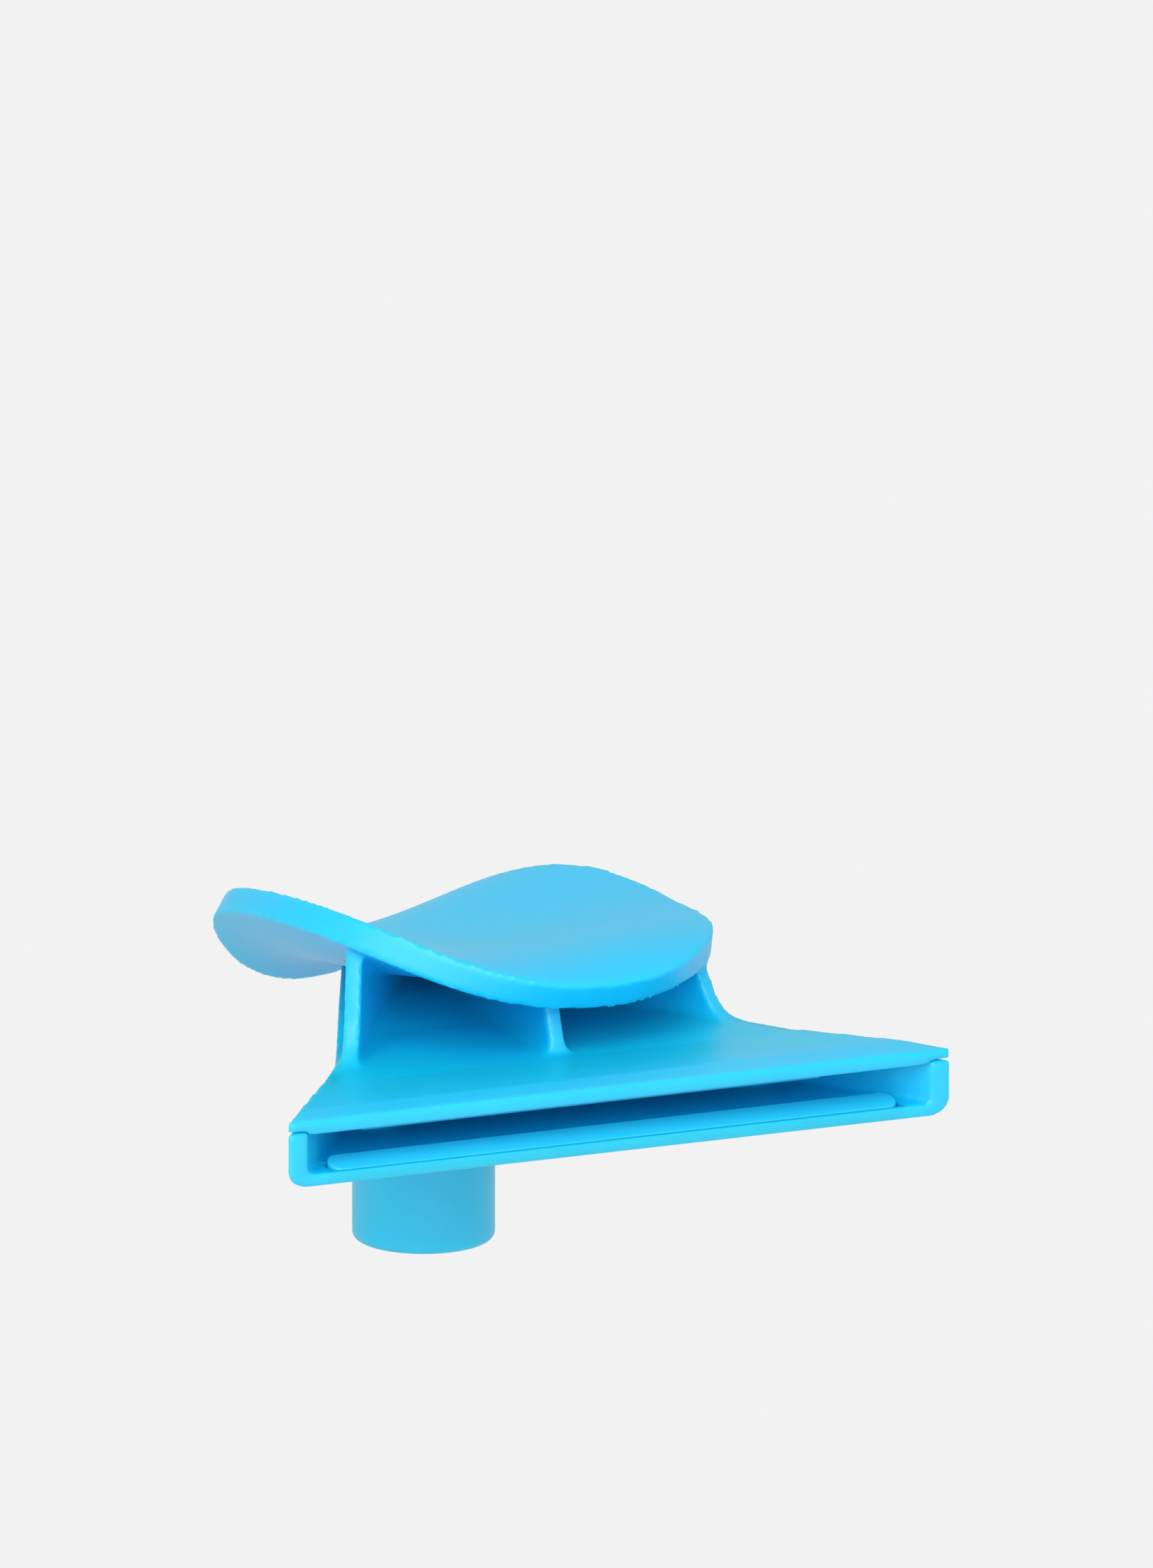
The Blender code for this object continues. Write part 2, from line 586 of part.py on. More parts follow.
def make_return_spring():
    """A helix from the button's floor to the roof pocket."""
    low = -BUTTON_DROP + BUTTON_WALL + GAP + SPRING_WIRE
    high = POCKET_TOP - GAP - SPRING_WIRE
    curve = bpy.data.curves.new("return_spring", 'CURVE')
    curve.dimensions = '3D'
    curve.bevel_depth = SPRING_WIRE * MM
    curve.bevel_resolution = 2
    curve.use_fill_caps = True
    spline = curve.splines.new('POLY')
    count = SPRING_TURNS * SPRING_STEPS + 1
    spline.points.add(count - 1)
    for index, point in enumerate(spline.points):
        angle = 2 * pi * index / SPRING_STEPS
        height = low + (high - low) * index / (count - 1)
        spot = place(SPRING_RADIUS * cos(angle), MOUTH_SETBACK + SPRING_RADIUS * sin(angle), height)
        point.co = (*spot, 1)
    spring = bpy.data.objects.new("return_spring", curve)
    parts.objects.link(spring)
    curve.materials.append(steel)
    return spring


def make_jaw_lever(axis_empty):
    low, high = PIVOT_HEIGHT - LEVER_THICKNESS / 2, PIVOT_HEIGHT + LEVER_THICKNESS / 2
    web = [(BAR_HALF_WIDTH - WEB_INSET, BAR_BACK - WEB_OVERLAP), (LEVER_HALF_WIDTH, BAR_BACK + WEB_RUN),
           (LEVER_HALF_WIDTH, PIVOT_DEPTH + BARREL_RADIUS), (ARM_HALF_WIDTH, PIVOT_DEPTH + ARM_TAPER),
           (ARM_HALF_WIDTH, MOUTH_SETBACK - RING_INNER / 2)]
    outline = web + [(-x, depth) for x, depth in reversed(web)]
    lever = plate("jaw_lever", parts, outline, (low, high))
    pieces = [
        block("front_bar", cutters, (-BAR_HALF_WIDTH, BAR_HALF_WIDTH), (BAR_FRONT, BAR_BACK),
              (PIVOT_HEIGHT - BAR_BELOW, PIVOT_HEIGHT + BAR_ABOVE)),
        cylinder("hinge_barrel", cutters, BARREL_RADIUS, (-LEVER_HALF_WIDTH, PIVOT_DEPTH, PIVOT_HEIGHT),
                 2 * LEVER_HALF_WIDTH, axis='X', vertices=24),
        cylinder("rear_ring", cutters, RING_OUTER, (0, MOUTH_SETBACK, low), LEVER_THICKNESS),
        block("rocking_rib", cutters, (-RETAINER_RADIUS, RETAINER_RADIUS),
              (MOUTH_SETBACK - RIB_HALF_WIDTH, MOUTH_SETBACK + RIB_HALF_WIDTH),
              (low - RIB_HEIGHT, high + RIB_HEIGHT)),
    ]
    holes = [
        cylinder("ring_hole", cutters, RING_INNER, (0, MOUTH_SETBACK, low - WELL_REACH),
                 LEVER_THICKNESS + 2 * WELL_REACH),
        cylinder("barrel_bore", cutters, PIN_RADIUS + GAP,
                 (-LEVER_HALF_WIDTH - WELL_REACH, PIVOT_DEPTH, PIVOT_HEIGHT),
                 2 * (LEVER_HALF_WIDTH + WELL_REACH), axis='X', vertices=20),
        block("lever_pad_groove", cutters, (-PAD_HALF_WIDTH - GAP, PAD_HALF_WIDTH + GAP),
              (PAD_FRONT - GAP, PAD_BACK + GAP),
              (PIVOT_HEIGHT + BAR_ABOVE - PAD_GROOVE, PIVOT_HEIGHT + BAR_ABOVE + WELL_REACH)),
    ]
    join(lever, *pieces)
    cut(lever, *holes)
    for obj in [lever] + pieces + holes:
        follow(obj, axis_empty)
    return finish(lever, moulded)


def follow(obj, axis_empty):
    bpy.context.view_layer.update()
    obj.parent = axis_empty
    obj.matrix_parent_inverse = axis_empty.matrix_world.inverted()


def make_pads(axis_empty):
    top = PIVOT_HEIGHT + BAR_ABOVE + PAD_PROUD
    lever_pad = block("lever_jaw_pad", parts, (-PAD_HALF_WIDTH, PAD_HALF_WIDTH), (PAD_FRONT, PAD_BACK),
                      (top - PAD_THICKNESS, top))
    follow(lever_pad, axis_empty)
    foot = ROOF - PAD_PROUD
    roof_pad = block("roof_jaw_pad", parts, (-PAD_HALF_WIDTH, PAD_HALF_WIDTH), (PAD_FRONT, PAD_BACK),
                     (foot, foot + PAD_THICKNESS))
    for pad in (lever_pad, roof_pad):
        finish(pad, rubber)


def make_pivot():
    pin = cylinder("pivot_pin", parts, PIN_RADIUS, (-PIN_HALF_LENGTH, PIVOT_DEPTH, PIVOT_HEIGHT),
                   2 * PIN_HALF_LENGTH, axis='X', vertices=20)
    finish(pin, steel)
    for name, side in (("pivot_bush_left", -1), ("pivot_bush_right", 1)):
        inner = LEVER_HALF_WIDTH + 3 * GAP
        start = inner if side > 0 else -inner - BUSH_LENGTH
        bush = cylinder(name, parts, BUSH_RADIUS, (start, PIVOT_DEPTH, PIVOT_HEIGHT), BUSH_LENGTH,
                        axis='X', vertices=24)
        cut(bush, cylinder(name + "_bore", cutters, PIN_RADIUS + GAP,
                           (start - WELL_REACH, PIVOT_DEPTH, PIVOT_HEIGHT),
                           BUSH_LENGTH + 2 * WELL_REACH, axis='X', vertices=20))
        finish(bush, nylon)


def make_screws():
    tip = ROOF + THREAD_DEPTH - TIP_CLEARANCE
    for spot, x, depth in screw_spots():
        screw = cylinder("screw_" + spot, parts, HEAD_RADIUS, (x, depth, GAP), HEAD_HEIGHT, vertices=24)
        join(screw, cylinder("shank_" + spot, cutters, SHANK_RADIUS, (x, depth, GAP + HEAD_HEIGHT / 2),
                             tip - GAP - HEAD_HEIGHT / 2, vertices=16))
        cut(screw, cylinder("socket_" + spot, cutters, HEAD_SOCKET, (x, depth, GAP - WELL_REACH),
                            WELL_REACH + HEAD_HEIGHT / 2, vertices=6))
        finish(screw, steel)


for old in list(bpy.data.objects):
    bpy.data.objects.remove(old)
parts = new_collection("laundry_clip")
cutters = new_collection("cutters")
moulded = new_material("moulded_polypropylene", CYAN, 0.42)
nylon = new_material("nylon", NATURAL, 0.5)
rubber = new_material("soft_rubber", PAD_BLUE, 0.75)
steel = new_material("spring_steel", STEEL, 0.3, 1.0)

lever_axis = bpy.data.objects.new("lever_axis", None)
lever_axis.location = place(0, PIVOT_DEPTH, PIVOT_HEIGHT)
bpy.context.scene.collection.objects.link(lever_axis)

make_upper_body()
make_lower_housing()
make_mouth_floor_strip()
make_push_button()
make_retaining_ring()
make_return_spring()
make_jaw_lever(lever_axis)
make_pads(lever_axis)
make_pivot()
make_screws()
lever_axis.rotation_euler.x = -TILT
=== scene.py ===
"""Squeeze clip for laundry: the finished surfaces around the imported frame.

The two moulded halves of the body, the finger rest, the button, the strip in the mouth and the
return spring are modelled here. The other pieces inside keep their frame shapes and take their
finish here. Sizes are in millimetres until MM turns them into metres. A place is given as its
side x, its depth behind the mouth and its height above the underside of the body.
"""
import json
from math import acos, atan2, cos, hypot, pi, radians, sin, sqrt

import bmesh
import bpy
from mathutils import Matrix, Vector


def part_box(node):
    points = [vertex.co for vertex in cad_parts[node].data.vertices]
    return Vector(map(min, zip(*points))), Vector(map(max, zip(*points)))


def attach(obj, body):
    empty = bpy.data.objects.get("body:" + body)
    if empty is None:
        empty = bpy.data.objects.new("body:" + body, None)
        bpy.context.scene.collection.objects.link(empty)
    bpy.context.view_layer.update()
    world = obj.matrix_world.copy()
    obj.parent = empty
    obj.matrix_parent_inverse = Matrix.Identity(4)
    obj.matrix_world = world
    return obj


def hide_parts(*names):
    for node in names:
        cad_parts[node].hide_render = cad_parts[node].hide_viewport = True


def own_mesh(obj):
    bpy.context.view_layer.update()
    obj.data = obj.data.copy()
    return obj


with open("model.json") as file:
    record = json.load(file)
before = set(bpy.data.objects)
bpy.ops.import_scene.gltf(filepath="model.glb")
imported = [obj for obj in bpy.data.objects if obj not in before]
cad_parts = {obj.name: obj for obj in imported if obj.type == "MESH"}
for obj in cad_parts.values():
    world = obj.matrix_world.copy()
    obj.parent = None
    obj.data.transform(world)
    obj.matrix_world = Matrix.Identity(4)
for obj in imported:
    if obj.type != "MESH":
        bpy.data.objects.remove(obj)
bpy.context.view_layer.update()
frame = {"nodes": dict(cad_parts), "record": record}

MM = 0.001
CUT_SNAP = 1e-7                  # metres within which a cutting plane takes a point
MERGE = 1e-6                     # metres within which two points are one
DISC_MERGE = 1e-4                # the same, on a disc of radius 1

# ---- measures that the frame gives ----
base_low, base_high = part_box("lower_housing")
button_low, button_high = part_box("push_button")
mounts = {mount["name"]: mount for mount in frame["record"]["mounts"]}
UNDERSIDE = mounts["body_underside"]["pos_m"][2] / MM
MOUTH_SETBACK = -base_low.y / MM
MOUTH_HALF_WIDTH = base_high.x / MM
HOUSING_HEIGHT = base_high.z / MM - UNDERSIDE
TUBE_DROP = UNDERSIDE - base_low.z / MM
BUTTON_RADIUS = button_high.x / MM
BUTTON_TOP = button_high.z / MM - UNDERSIDE
BUTTON_DROP = UNDERSIDE - button_low.z / MM

# ---- body outline and walls ----
BAND_DEPTH = 3.95                # the flared band behind the mouth
BAND_FLARE = 2.9
BAND_HALF_WIDTH = MOUTH_HALF_WIDTH - BAND_FLARE
SHOULDER_DEPTH = 15.4
SHOULDER_HALF_WIDTH = 27.7
WAIST_DEPTH = 22.6
WAIST_HALF_WIDTH = 23.0
RUNNING_GAP = 0.35
HUB_BORE = BUTTON_RADIUS + RUNNING_GAP
TUBE_WALL = 0.75
HUB_RADIUS = HUB_BORE + TUBE_WALL       # round rear end of the body, and the guide tube below it
RING_PLAY = 0.5                  # from the lever's ring to the bore
GAP = 0.3                        # between pieces
FLOOR = 1.4                      # thickness of the housing's floor
ROOF = HOUSING_HEIGHT + GAP
PLATE_THICKNESS = 1.85
PLATE_TOP = ROOF + PLATE_THICKNESS
BAND_RISE = 0.2                  # how far the band falls to the mouth
GROWN = 0.3                      # added round the body, because softening its edges draws them in
DIP_FRONT = BAND_DEPTH           # the plate dips a little between these depths, where the neck stands
DIP_BACK = 42.0
DIP_SLOPE = 0.08                 # millimetres down for each one back
DIP_MOST = 1.0
RIM_RISE = 0.5                   # housing's rim above the plate's lower face
SEAM = 0.06                      # between the housing's rim and the plate
WALL_ACROSS = 1.92               # the side wall, measured straight across the body, as it slants
CORNER_RADIUS = 2.4              # lower corners of the mouth
PAST = 2.0                       # what a cutter runs past the face that it opens


def place(x, depth, height):
    """A place in the frame, in metres."""
    return Vector((x, depth - MOUTH_SETBACK, height + UNDERSIDE)) * MM


# ---------------------------------------------------------------- meshes

def piece(shape, name):
    """A bmesh as a new object in the scene."""
    mesh = bpy.data.meshes.new(name)
    shape.to_mesh(mesh)
    shape.free()
    obj = bpy.data.objects.new(name, mesh)
    bpy.context.scene.collection.objects.link(obj)
    return obj


def settle(obj):
    """Make what the modifiers show the object's own mesh."""
    bpy.context.view_layer.update()
    seen = obj.evaluated_get(bpy.context.evaluated_depsgraph_get())
    mesh = bpy.data.meshes.new_from_object(seen)
    mesh.name = obj.name
    obj.modifiers.clear()
    obj.data = mesh
    return obj


def carve(obj, tool, operation='DIFFERENCE'):
    """Cut a tool out of an object, or join it on, and remove the tool."""
    step = obj.modifiers.new(tool.name, 'BOOLEAN')
    step.operation = operation
    step.solver = 'EXACT'
    step.object = tool
    settle(obj)
    bpy.data.objects.remove(tool)
    return obj


def gather(name, forms):
    """Several closed forms in one mesh."""
    shape = bmesh.new()
    for form in forms:
        shape.from_mesh(form.data)
        bpy.data.objects.remove(form)
    return piece(shape, name)


def mould(obj, grain, passes):
    """Fuse overlapping forms into one skin and let its edges and corners run soft."""
    fuse = obj.modifiers.new("fuse", 'REMESH')
    fuse.mode = 'VOXEL'
    fuse.voxel_size = grain * MM
    settle(obj)
    soften = obj.modifiers.new("soften", 'SMOOTH')
    soften.factor = 0.5
    soften.iterations = passes
    return settle(obj)


def shade(obj, material, angle=35):
    """Give an object its material, and smooth shading up to an angle in degrees."""
    obj.data.materials.clear()
    obj.data.materials.append(material)
    obj.data.shade_smooth()
    obj.data.set_sharp_from_angle(angle=radians(angle))
    return obj


def turned(profile, name, steps=96):
    """A closed profile of (radius, height) points turned about the button's axis."""
    shape = bmesh.new()
    verts = [shape.verts.new(place(radius, MOUTH_SETBACK, height)) for radius, height in profile]
    edges = [shape.edges.new(pair) for pair in zip(verts, verts[1:])]
    bmesh.ops.spin(shape, geom=verts + edges, cent=(0, 0, 0), axis=(0, 0, 1), dvec=(0, 0, 0),
                   angle=2 * pi, steps=steps, use_merge=True)
    bmesh.ops.remove_doubles(shape, verts=shape.verts, dist=MERGE)
    bmesh.ops.recalc_face_normals(shape, faces=shape.faces)
    return piece(shape, name)


def rod(radius, start, length, name, steps=32):
    """A round rod that stands up from start = (side, depth, height)."""
    shape = bmesh.new()
    bmesh.ops.create_cone(shape, cap_ends=True, segments=steps, radius1=radius * MM, radius2=radius * MM,
                          depth=length * MM)
    bmesh.ops.translate(shape, verts=shape.verts, vec=place(*start) + Vector((0, 0, length * MM / 2)))
    return piece(shape, name)


def solid_box(low, high, name):
    """A box between two corners, each (side, depth, height)."""
    shape = bmesh.new()
    bmesh.ops.create_cube(shape, size=1.0)
    middle = [(a + b) / 2 for a, b in zip(low, high)]
    span = [(b - a) * MM for a, b in zip(low, high)]
    bmesh.ops.scale(shape, verts=shape.verts, vec=span)
    bmesh.ops.translate(shape, verts=shape.verts, vec=place(*middle))
    return piece(shape, name)


def cross_rod(radius, side_from, side_to, depth, height, name, steps=32):
    """A round rod that lies across the body."""
    shape = bmesh.new()
    bmesh.ops.create_cone(shape, cap_ends=True, segments=steps, radius1=radius * MM, radius2=radius * MM,
                          depth=abs(side_to - side_from) * MM)
    bmesh.ops.rotate(shape, verts=shape.verts, cent=(0, 0, 0), matrix=Matrix.Rotation(pi / 2, 3, 'Y'))
    bmesh.ops.translate(shape, verts=shape.verts, vec=place((side_from + side_to) / 2, depth, height))
    return piece(shape, name)


def node_span(node):
    """Low and high corner of a frame node, as (side, depth, height) in millimetres."""
    return [(corner.x / MM, corner.y / MM + MOUTH_SETBACK, corner.z / MM - UNDERSIDE)
            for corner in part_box(node)]


# ---------------------------------------------------------------- body forms

def fan_side(inset, hub):
    """Right side of the body, from the mouth's corner to the place where it meets the hub."""
    side = [(MOUTH_HALF_WIDTH - inset, 0.0), (BAND_HALF_WIDTH - inset, BAND_DEPTH),
            (SHOULDER_HALF_WIDTH - inset, SHOULDER_DEPTH), (WAIST_HALF_WIDTH - inset, WAIST_DEPTH)]
    x, behind = side[-1][0], side[-1][1] - MOUTH_SETBACK
    return side, atan2(behind, x) + acos(hub / hypot(x, behind))


def fan_solid(name, heights, inset=0.0, hub=HUB_RADIUS, run_out=0.0, arc_steps=24):
    """The body's fan outline with its round rear end, raised through a list of heights."""
    side, angle = fan_side(inset, hub)
    if run_out:
        side.insert(0, (side[0][0], -run_out))
    shape = bmesh.new()
    right = [shape.verts.new(place(x, depth, heights[0])) for x, depth in side]
    for step in range(arc_steps + 1):
        turn = angle + (pi - 2 * angle) * step / arc_steps
        right.append(shape.verts.new(place(hub * cos(turn), MOUTH_SETBACK + hub * sin(turn), heights[0])))
    left = [shape.verts.new(place(-x, depth, heights[0])) for x, depth in reversed(side)]
    top = [shape.faces.new(right + left)]
    bmesh.ops.recalc_face_normals(shape, faces=top)
    for low, high in zip(heights, heights[1:]):
        top = bmesh.ops.extrude_face_region(shape, geom=top)["geom"]
        verts = [part for part in top if isinstance(part, bmesh.types.BMVert)]
        bmesh.ops.translate(shape, verts=verts, vec=(0, 0, (high - low) * MM))
        top = [part for part in top if isinstance(part, bmesh.types.BMFace)]
    bmesh.ops.recalc_face_normals(shape, faces=shape.faces)
    return piece(shape, name)


# ---- finger rest ----
WING_SIDE = 0.7                  # its centre, aside of the button's axis and in front of it
WING_FORWARD = 9.3
WING_DEPTH = MOUTH_SETBACK - WING_FORWARD
WING_HALF_WIDTH = 24.4
WING_HALF_LENGTH = 27.0
WING_SQUARENESS = 2.4            # 2 is an ellipse
WING_NARROWING = 0.078           # share by which the outline draws in at the back and swells in front
WING_SHOULDERS = 0.025           # share by which it swells beside the back
WING_TURN = 1.2                  # degrees about the vertical
WING_HEIGHT = 12.8               # its upper face at the centre
WING_THICKNESS = 3.2
SADDLE_REACH = 20.0
SADDLE_TERMS = {                 # (power across, power back): height at the saddle's reach
    (1, 0): 1.1, (0, 1): -2.3,
    (2, 0): 2.4, (0, 2): 1.5,
    (1, 1): 1.2, (1, 3): 1.2,
    (3, 0): -2.6, (0, 3): -0.9,
    (1, 2): 0.9, (2, 2): -0.4,
    (4, 0): 0.4, (0, 4): -1.6,
}


def wing_height(x, depth):
    """Height of the finger rest's upper face."""
    turn = radians(WING_TURN)
    aside, back = x - WING_SIDE, depth - WING_DEPTH
    p = (aside * cos(turn) + back * sin(turn)) / SADDLE_REACH
    q = (back * cos(turn) - aside * sin(turn)) / SADDLE_REACH
    rise = sum(height * p ** across * q ** along for (across, along), height in SADDLE_TERMS.items())
    return WING_HEIGHT + rise


def wing_reach(angle):
    """Distance of the finger rest's edge from its centre, at an angle from its right side."""
    across, along = abs(cos(angle)) / WING_HALF_WIDTH, abs(sin(angle)) / WING_HALF_LENGTH
    even = (across ** WING_SQUARENESS + along ** WING_SQUARENESS) ** (-1 / WING_SQUARENESS)
    return even * (1 - WING_NARROWING * sin(angle) + WING_SHOULDERS * sin(3 * angle))


def wing_form(rings=20, sectors=120):
    """An oval of rings and sectors lifted to the saddle, with its thickness below."""
    turn = radians(WING_TURN)
    shape = bmesh.new()
    spoke = [shape.verts.new((ring / rings, 0, 0)) for ring in range(rings + 1)]
    edges = [shape.edges.new(pair) for pair in zip(spoke, spoke[1:])]
    bmesh.ops.spin(shape, geom=spoke + edges, cent=(0, 0, 0), axis=(0, 0, 1), dvec=(0, 0, 0),
                   angle=2 * pi, steps=sectors, use_merge=True)
    bmesh.ops.remove_doubles(shape, verts=shape.verts, dist=DISC_MERGE)
    bmesh.ops.recalc_face_normals(shape, faces=shape.faces)
    for vert in shape.verts:
        reach = wing_reach(atan2(vert.co.y, vert.co.x))
        across, back = vert.co.x * reach, vert.co.y * reach
        x = WING_SIDE + across * cos(turn) - back * sin(turn)
        depth = WING_DEPTH + across * sin(turn) + back * cos(turn)
        vert.co = place(x, depth, wing_height(x, depth))
    shape.normal_update()
    if sum(face.normal.z for face in shape.faces) < 0:
        bmesh.ops.reverse_faces(shape, faces=shape.faces)
    wing = piece(shape, "wing_form")
    thickness = wing.modifiers.new("thickness", 'SOLIDIFY')
    thickness.thickness = WING_THICKNESS * MM
    thickness.offset = -1
    return settle(wing)


# ---- neck ----
NECK_EDGE = 1.6                  # outer walls, in from the waist
NECK_HALF_SPAN = WAIST_HALF_WIDTH - NECK_EDGE
NECK_APEX_BEHIND = 4.7           # where the three walls meet, behind the button's axis
NECK_APEX_DEPTH = MOUTH_SETBACK + NECK_APEX_BEHIND
NECK_LEAN_IN = 1.4               # what a front edge leans on its way up
NECK_LEAN_BACK = 2.5
NECK_WALL = 1.8
RIB_DEPTH = 16.2                 # front edge of the middle wall
FOOT_SWEEP_LEFT = 4.5            # how far a front edge runs forward at its foot
FOOT_SWEEP_RIGHT = 2.4
INNER_FILLET = 1.3               # at a wall's foot, on the recess side
OUTER_FILLET = 0.5               # and on the outside
HEAD_FILLET = 0.5                # under the finger rest
FULL_FILLET_HEIGHT = 4.0         # where a wall is lower than this its fillets shrink
WALL_OVERLAP = 0.8               # what a wall sinks into the plate and into the finger rest


def fillet(distance, radius):
    """Offset of a hollow quarter-round fillet at a distance from the face that it runs into."""
    if distance >= radius:
        return 0.0
    return radius - sqrt(radius ** 2 - (radius - max(distance, 0.0)) ** 2)


def neck_wall(name, half_span, front, foot_sweep, cuts=23):
    """A wall of the neck with hollow fillets where it meets the plate and the finger rest."""
    side = (half_span > 0) - (half_span < 0)
    along = Vector((half_span, front - NECK_APEX_DEPTH)).normalized()
    outward = Vector((-along.y, along.x)) * (side or 1)
    shape = bmesh.new()
    bmesh.ops.create_cube(shape, size=1.0)
    bmesh.ops.subdivide_edges(shape, edges=shape.edges, cuts=cuts, use_grid_fill=True)
    for vert in shape.verts:
        run, across, rise = vert.co.x + 0.5, vert.co.y * 2, vert.co.z + 0.5
        up = (1 - cos(pi * rise)) / 2       # closer rows near the foot and the head
        x = (half_span - side * NECK_LEAN_IN * up) * (1 - run)
        start = front + NECK_LEAN_BACK * up
        depth = start + (NECK_APEX_DEPTH - start) * run
        level = PLATE_TOP - plate_fall(depth)
        tall = wing_height(x, depth) - WING_THICKNESS - level
        from_foot, from_head = tall * up, tall * (1 - up)
        sweep = fillet(from_foot, foot_sweep) * (1 - run)
        room = min(tall / FULL_FILLET_HEIGHT, 1.0)
        radius = OUTER_FILLET if side and across > 0 else INNER_FILLET
        flare = fillet(from_foot, radius * room) + fillet(from_head, HEAD_FILLET * room)
        offset = across * (NECK_WALL / 2 + flare)
        x += along.x * sweep + outward.x * offset
        depth += along.y * sweep + outward.y * offset
        height = level + from_foot
        if rise <= 0:
            height -= WALL_OVERLAP
        if rise >= 1:
            height += WALL_OVERLAP
        vert.co = place(x, depth, height)
    bmesh.ops.recalc_face_normals(shape, faces=shape.faces)
    return piece(shape, name)


def plate_fall(depth):
    """How far the plate's upper face lies below its level at the band."""
    return max(min((depth - DIP_FRONT) * DIP_SLOPE, (DIP_BACK - depth) * DIP_SLOPE, DIP_MOST), 0.0)


def plate_form():
    """The top plate, with its band falling to the mouth."""
    plate = fan_solid("plate_form", [ROOF + RIM_RISE, PLATE_TOP], -GROWN)
    shape = bmesh.new()
    shape.from_mesh(plate.data)
    bpy.data.objects.remove(plate)
    rim = bmesh.ops.bisect_plane(
        shape, geom=shape.verts[:] + shape.edges[:] + shape.faces[:], dist=CUT_SNAP,
        plane_co=place(0, BAND_DEPTH, PLATE_TOP), plane_no=(0, -BAND_RISE, BAND_DEPTH),
        clear_outer=True)["geom_cut"]
    edges = [part for part in rim if isinstance(part, bmesh.types.BMEdge) and part.is_boundary]
    bmesh.ops.holes_fill(shape, edges=edges)
    run = DIP_MOST / DIP_SLOPE
    for depth in (DIP_FRONT, DIP_FRONT + run, DIP_BACK - run, DIP_BACK):
        bmesh.ops.bisect_plane(shape, geom=shape.verts[:] + shape.edges[:] + shape.faces[:], dist=CUT_SNAP,
                               plane_co=place(0, depth, 0), plane_no=(0, 1, 0))
    for vert in shape.verts:
        if vert.co.z > place(0, 0, PLATE_TOP - BAND_RISE / 2).z:
            vert.co.z -= plate_fall(vert.co.y / MM + MOUTH_SETBACK) * MM
    bmesh.ops.recalc_face_normals(shape, faces=shape.faces)
    return piece(shape, "plate_form")


# ---- inside ----
POST_GAP_HEIGHT = 3.43           # top of the housing's screw posts
FOOT_POST = 2.9                  # radius of a housing post
ROOF_POST = 2.0                  # radius of the roof post above it, which takes the thread
POST_OVERLAP = 0.6               # what a roof post or the spring's peg sinks into the plate
THREAD_DEPTH = 0.5               # how far the thread's hole enters the plate
HEAD_CLEARANCE = 0.3             # round a screw's head and its shank
SHANK_RADIUS = 0.85
SCREW_HEAD_HEIGHT = 1.0
SEAT_WALL = 1.3                  # housing round a bush
POCKET_HEADROOM = 0.3
BUTTON_TRAVEL = 3.0
PEG_LENGTH = 3.0
PEG_INSET = 1.4                  # from the return spring's outside in to the peg
UPPER_GRAIN = 0.34               # grain of the fused skins, and the times that they are smoothed
UPPER_PASSES = 4
LOWER_GRAIN = 0.3
LOWER_PASSES = 4

screws = [node_span("screw_" + row + "_" + side) for row in ("front", "rear") for side in ("left", "right")]
screw_spots = [((low[0] + high[0]) / 2, (low[1] + high[1]) / 2) for low, high in screws]
SCREW_HEAD = (screws[0][1][0] - screws[0][0][0]) / 2


def make_upper_body(material):
    """The plate, the neck and the finger rest in one moulding, with the cuts in its roof."""
    post_foot = POST_GAP_HEIGHT + GAP
    upper = gather("upper_shell", [
        plate_form(), wing_form(),
        fan_solid("plate_inside", [ROOF, ROOF + 2 * RIM_RISE], WALL_ACROSS + SEAM, HUB_BORE + SEAM),
        neck_wall("left_wall", -NECK_HALF_SPAN, WAIST_DEPTH, FOOT_SWEEP_LEFT),
        neck_wall("right_wall", NECK_HALF_SPAN, WAIST_DEPTH, FOOT_SWEEP_RIGHT),
        neck_wall("middle_wall", 0.0, RIB_DEPTH, OUTER_FILLET),
        *(rod(ROOF_POST, (x, depth, post_foot), ROOF + POST_OVERLAP - post_foot, "roof_post")
          for x, depth in screw_spots)])
    mould(upper, UPPER_GRAIN, UPPER_PASSES)
    pad_low, pad_high = node_span("roof_jaw_pad")
    pocket_top = max(ROOF, BUTTON_TOP + BUTTON_TRAVEL + POCKET_HEADROOM)
    hole_foot = post_foot - PAST
    carve(upper, gather("roof_cuts", [
        rod(HUB_BORE, (0, MOUTH_SETBACK, ROOF - PAST), pocket_top - ROOF + PAST, "roof_pocket", 96),
        solid_box((pad_low[0] - GAP, pad_low[1] - GAP, ROOF - PAST),
                  (pad_high[0] + GAP, pad_high[1] + GAP, pad_high[2] + GAP), "pad_groove"),
        *(rod(SHANK_RADIUS + HEAD_CLEARANCE, (x, depth, hole_foot), ROOF + THREAD_DEPTH - hole_foot,
              "thread_hole") for x, depth in screw_spots)]))
    spring_radius = node_span("return_spring")[1][0]
    carve(upper, rod(spring_radius - PEG_INSET, (0, MOUTH_SETBACK, pocket_top - PEG_LENGTH),
                     PEG_LENGTH + POST_OVERLAP, "spring_peg"), 'UNION')
    shade(upper, material)
    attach(upper, "housing")
    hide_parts("upper_body")
    return upper


